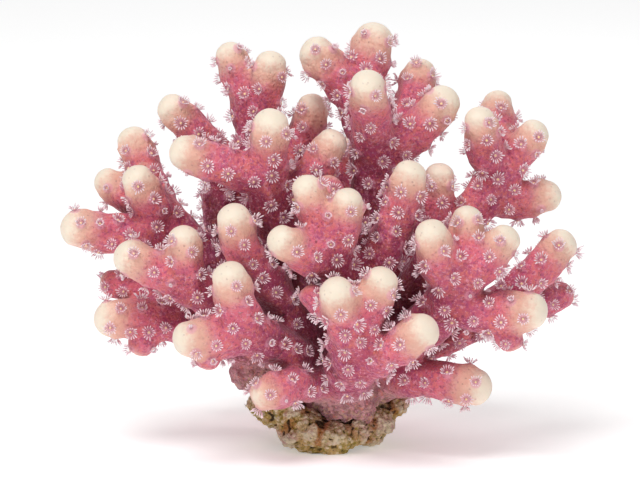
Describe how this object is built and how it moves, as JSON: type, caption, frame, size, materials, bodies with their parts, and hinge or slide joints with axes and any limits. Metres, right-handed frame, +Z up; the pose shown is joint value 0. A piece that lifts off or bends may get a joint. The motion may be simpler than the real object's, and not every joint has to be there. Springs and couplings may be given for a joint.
{
  "type": "cat's paw coral",
  "caption": "Pink branching coral colony with blunt, cream-tipped fingers and open polyps, grown on a small lump of reef rock with a flat foot to stand on.",
  "frame": {"origin": "on the rock's flat foot, under the trunk", "axes": "+Z up from the foot, +X to the right along the colony's longest side, -Y out of its front"},
  "size_m": [0.1541, 0.1113, 0.1266],
  "materials": {
    "coral_skin": "living coral skin, pink with cream finger tips and open polyps",
    "reef_rock": "rough, encrusted, olive and tan"
  },
  "bodies": {
    "root": {"rock": "reef_rock", "trunk": "coral_skin", "top_branch": "coral_skin", "far_upper_left_branch": "coral_skin", "upper_left_branch": "coral_skin", "right_branch": "coral_skin", "left_branch": "coral_skin", "outer_left_branch": "coral_skin", "lower_left_branch": "coral_skin", "tall_front_left_finger": "coral_skin", "centre_branch": "coral_skin", "front_left_branch": "coral_skin", "front_right_branch": "coral_skin", "outer_right_branch": "coral_skin", "front_branch": "coral_skin", "front_low_finger": "coral_skin", "right_low_finger": "coral_skin", "back_top_branch": "coral_skin", "back_left_branch": "coral_skin", "back_right_branch": "coral_skin", "back_low_left_branch": "coral_skin", "back_low_right_branch": "coral_skin", "back_low_branch": "coral_skin"}
  },
  "joints": []
}
